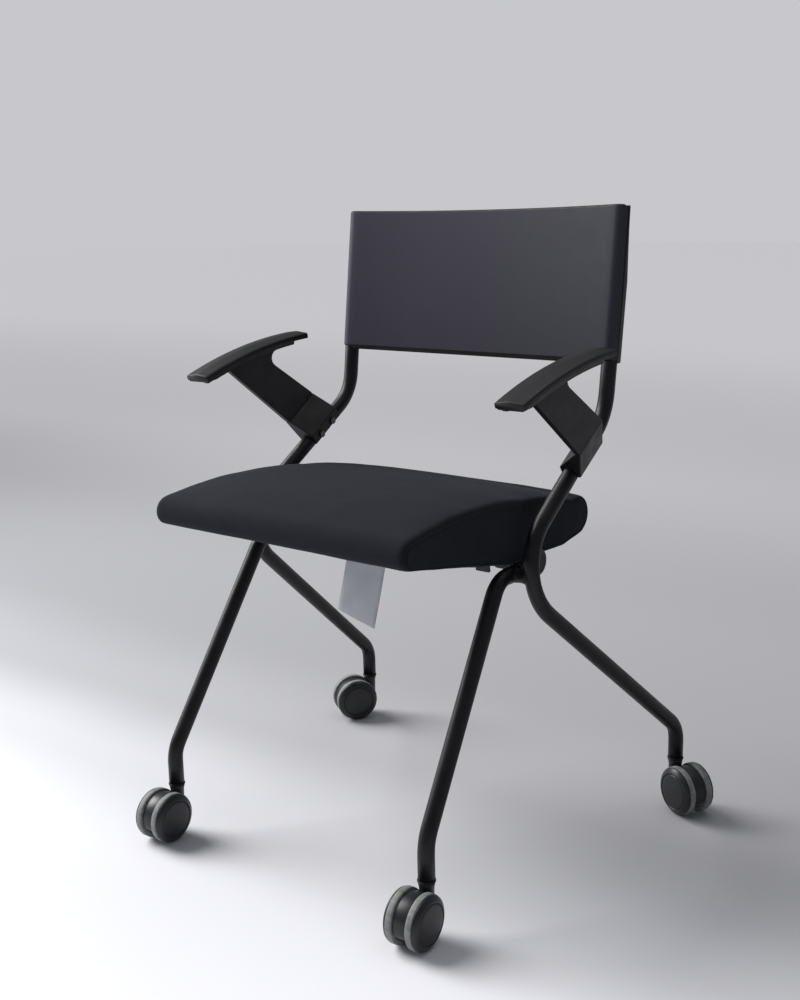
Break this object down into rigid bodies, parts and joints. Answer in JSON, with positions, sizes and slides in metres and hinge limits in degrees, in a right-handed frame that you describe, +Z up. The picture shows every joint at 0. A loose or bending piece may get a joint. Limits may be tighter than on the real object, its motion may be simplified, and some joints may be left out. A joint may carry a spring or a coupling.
{
  "type": "nesting chair",
  "caption": "Nesting armchair on twin-wheel casters: bent tube frame, upholstered seat that tips up, hollowed plastic back and slanted arms.",
  "frame": {"origin": "on the floor, in the chair's plane of symmetry, midway between front and rear caster stems", "axes": "+Z up, the sitter faces -Y, the sitter's left hand is on +X"},
  "size_m": [0.6715, 0.5544, 0.8037],
  "materials": {
    "tube_coat": "fine-texture powder coat, satin",
    "grey_plastic": "satin moulded",
    "black_rubber": "matte",
    "arm_plastic": "fine-grained, satin",
    "screw_steel": "zinc plated",
    "back_plastic": "satin moulded",
    "seat_fabric": "woven upholstery",
    "pan_plastic": "matte moulded",
    "bush_plastic": "slippery moulded",
    "strip_plastic": "matte flexible strip",
    "caster_plastic": "satin moulded",
    "wheel_tread": "satin tread"
  },
  "bodies": {
    "chair_frame": {"side_tube_left": "tube_coat", "side_tube_right": "tube_coat", "front_leg_left": "tube_coat", "front_leg_right": "tube_coat", "leg_bridges": "tube_coat", "pivot_tube": "tube_coat", "pivot_knuckles": "grey_plastic", "seat_stop_tabs": "tube_coat", "seat_rest_pads": "black_rubber", "arm_bracket_left": "arm_plastic", "arm_bracket_right": "arm_plastic", "arm_pad_left": "arm_plastic", "arm_pad_right": "arm_plastic", "arm_screws": "screw_steel", "back_shell": "back_plastic", "back_screws": "screw_steel", "caster_stems": "screw_steel"},
    "tip_up_seat": {"seat_cushion": "seat_fabric", "seat_pan": "pan_plastic", "hinge_blocks": "pan_plastic", "hinge_bushes": "bush_plastic", "hinge_screws": "screw_steel"},
    "hanging_strip": {"hanging_tag": "strip_plastic"},
    "caster_front_left": {"caster_hood_front_left": "caster_plastic", "caster_axle_front_left": "screw_steel"},
    "wheel_front_left_a": {"caster_wheel_front_left_a": "wheel_tread"},
    "wheel_front_left_b": {"caster_wheel_front_left_b": "wheel_tread"},
    "caster_front_right": {"caster_hood_front_right": "caster_plastic", "caster_axle_front_right": "screw_steel"},
    "wheel_front_right_a": {"caster_wheel_front_right_a": "wheel_tread"},
    "wheel_front_right_b": {"caster_wheel_front_right_b": "wheel_tread"},
    "caster_rear_left": {"caster_hood_rear_left": "caster_plastic", "caster_axle_rear_left": "screw_steel"},
    "wheel_rear_left_a": {"caster_wheel_rear_left_a": "wheel_tread"},
    "wheel_rear_left_b": {"caster_wheel_rear_left_b": "wheel_tread"},
    "caster_rear_right": {"caster_hood_rear_right": "caster_plastic", "caster_axle_rear_right": "screw_steel"},
    "wheel_rear_right_a": {"caster_wheel_rear_right_a": "wheel_tread"},
    "wheel_rear_right_b": {"caster_wheel_rear_right_b": "wheel_tread"}
  },
  "joints": [
    {"name": "seat_flip", "type": "hinge", "parent": "chair_frame", "child": "tip_up_seat", "pos_m": [0, -0.001, 0.384], "axis": [-1, 0, 0], "range_deg": [0, 80]},
    {"name": "strip_swing", "type": "hinge", "parent": "tip_up_seat", "child": "hanging_strip", "pos_m": [0, -0.0297, 0.3872], "axis": [-1, 0, 0], "range_deg": [-58, 0]},
    {"name": "front_left_swivel", "type": "hinge", "parent": "chair_frame", "child": "caster_front_left", "pos_m": [0.211, -0.2325, 0.055], "axis": [0, 0, 1], "continuous": true},
    {"name": "front_left_roll_a", "type": "hinge", "parent": "caster_front_left", "child": "wheel_front_left_a", "pos_m": [0.21281, -0.25844, 0.0325], "axis": [0.9976, 0.0698, 0], "continuous": true},
    {"name": "front_left_roll_b", "type": "hinge", "parent": "caster_front_left", "child": "wheel_front_left_b", "pos_m": [0.21281, -0.25844, 0.0325], "axis": [0.9976, 0.0698, 0], "continuous": true},
    {"name": "front_right_swivel", "type": "hinge", "parent": "chair_frame", "child": "caster_front_right", "pos_m": [-0.211, -0.2325, 0.055], "axis": [0, 0, 1], "continuous": true},
    {"name": "front_right_roll_a", "type": "hinge", "parent": "caster_front_right", "child": "wheel_front_right_a", "pos_m": [-0.20964, -0.25846, 0.0325], "axis": [0.9986, 0.0523, 0], "continuous": true},
    {"name": "front_right_roll_b", "type": "hinge", "parent": "caster_front_right", "child": "wheel_front_right_b", "pos_m": [-0.20964, -0.25846, 0.0325], "axis": [0.9986, 0.0523, 0], "continuous": true},
    {"name": "rear_left_swivel", "type": "hinge", "parent": "chair_frame", "child": "caster_rear_left", "pos_m": [0.275, 0.2325, 0.055], "axis": [0, 0, 1], "continuous": true},
    {"name": "rear_left_roll_a", "type": "hinge", "parent": "caster_rear_left", "child": "wheel_rear_left_a", "pos_m": [0.29856, 0.22151, 0.0325], "axis": [0.4226, 0.9063, 0], "continuous": true},
    {"name": "rear_left_roll_b", "type": "hinge", "parent": "caster_rear_left", "child": "wheel_rear_left_b", "pos_m": [0.29856, 0.22151, 0.0325], "axis": [0.4226, 0.9063, 0], "continuous": true},
    {"name": "rear_right_swivel", "type": "hinge", "parent": "chair_frame", "child": "caster_rear_right", "pos_m": [-0.275, 0.2325, 0.055], "axis": [0, 0, 1], "continuous": true},
    {"name": "rear_right_roll_a", "type": "hinge", "parent": "caster_rear_right", "child": "wheel_rear_right_a", "pos_m": [-0.28916, 0.21069, 0.0325], "axis": [0.8387, -0.5446, 0], "continuous": true},
    {"name": "rear_right_roll_b", "type": "hinge", "parent": "caster_rear_right", "child": "wheel_rear_right_b", "pos_m": [-0.28916, 0.21069, 0.0325], "axis": [0.8387, -0.5446, 0], "continuous": true}
  ],
  "couplings": [
    {"joint": "strip_swing", "follows": "seat_flip", "ratio": -0.725}
  ]
}
